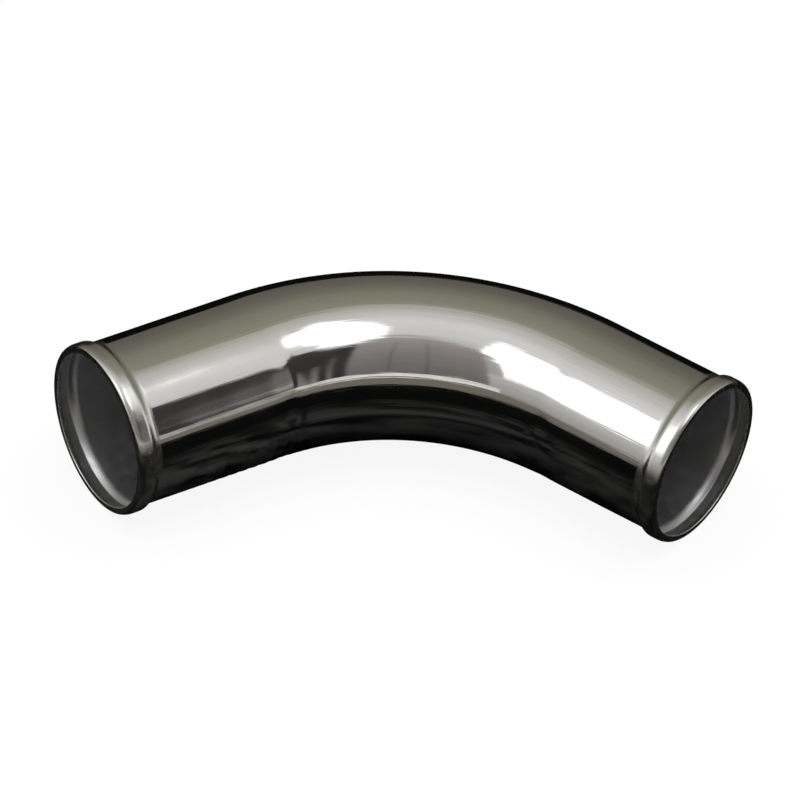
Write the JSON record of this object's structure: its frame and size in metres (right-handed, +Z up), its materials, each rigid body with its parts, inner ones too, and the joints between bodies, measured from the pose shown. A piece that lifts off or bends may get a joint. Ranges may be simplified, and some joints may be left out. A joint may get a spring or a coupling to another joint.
{
  "type": "intercooler pipe bend",
  "caption": "Bent round aluminium pipe with straight legs and a rolled bead at each mouth, which carries charge air between hoses in a car's engine bay.",
  "frame": {"origin": "middle of the part's box at its bottom, on the surface that both beads lie on", "axes": "+Z up, square to the bend's plane; +X to the right across both mouths, square to the line that halves the bend; -Y towards the inside of the bend"},
  "size_m": [0.312, 0.1372, 0.0796],
  "materials": {
    "polished_aluminium": "mirror polished outside, drawn inside"
  },
  "bodies": {
    "root": {"pipe_bend": "polished_aluminium"}
  },
  "joints": []
}
